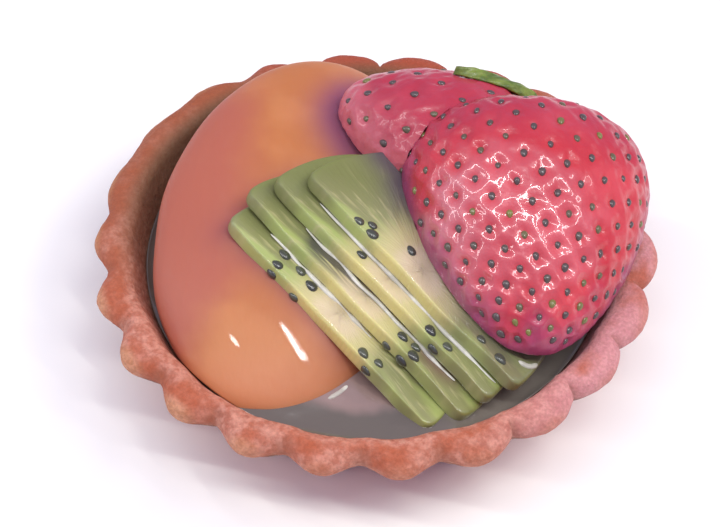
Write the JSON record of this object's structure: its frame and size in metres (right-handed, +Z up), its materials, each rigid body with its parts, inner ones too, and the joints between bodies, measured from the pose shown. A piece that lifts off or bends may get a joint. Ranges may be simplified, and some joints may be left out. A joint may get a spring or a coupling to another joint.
{
  "type": "fruit tart",
  "caption": "Small round fluted pastry tart with a dark glazed filling, topped with a peach slice, overlapping half slices of kiwi and strawberry halves.",
  "frame": {"origin": "middle of the flat underside of the pastry shell", "axes": "+Z up through the fruit, +X from the peach toward the front strawberry, -Y toward the front strawberry's tip and the low ends of the kiwi slices"},
  "size_m": [0.0894, 0.0882, 0.0379],
  "materials": {
    "pastry": "baked shortcrust pastry, dry and matte, golden with browner patches",
    "filling": "dark set glaze, wet and glossy",
    "peach": "glazed peach flesh, orange to salmon, glossy",
    "kiwi": "glazed kiwi flesh, green with a pale core and dark seeds, glossy",
    "strawberry": "glazed strawberry skin, red with dark seeds in dimples, glossy",
    "leaf": "fresh green sepal, satin"
  },
  "bodies": {
    "root": {"crust": "pastry", "filling": "filling", "peach_slice": "peach", "kiwi_slice_1": "kiwi", "kiwi_slice_2": "kiwi", "kiwi_slice_3": "kiwi", "kiwi_slice_4": "kiwi", "strawberry_front": "strawberry", "strawberry_back": "strawberry", "strawberry_sepal": "leaf"}
  },
  "joints": []
}
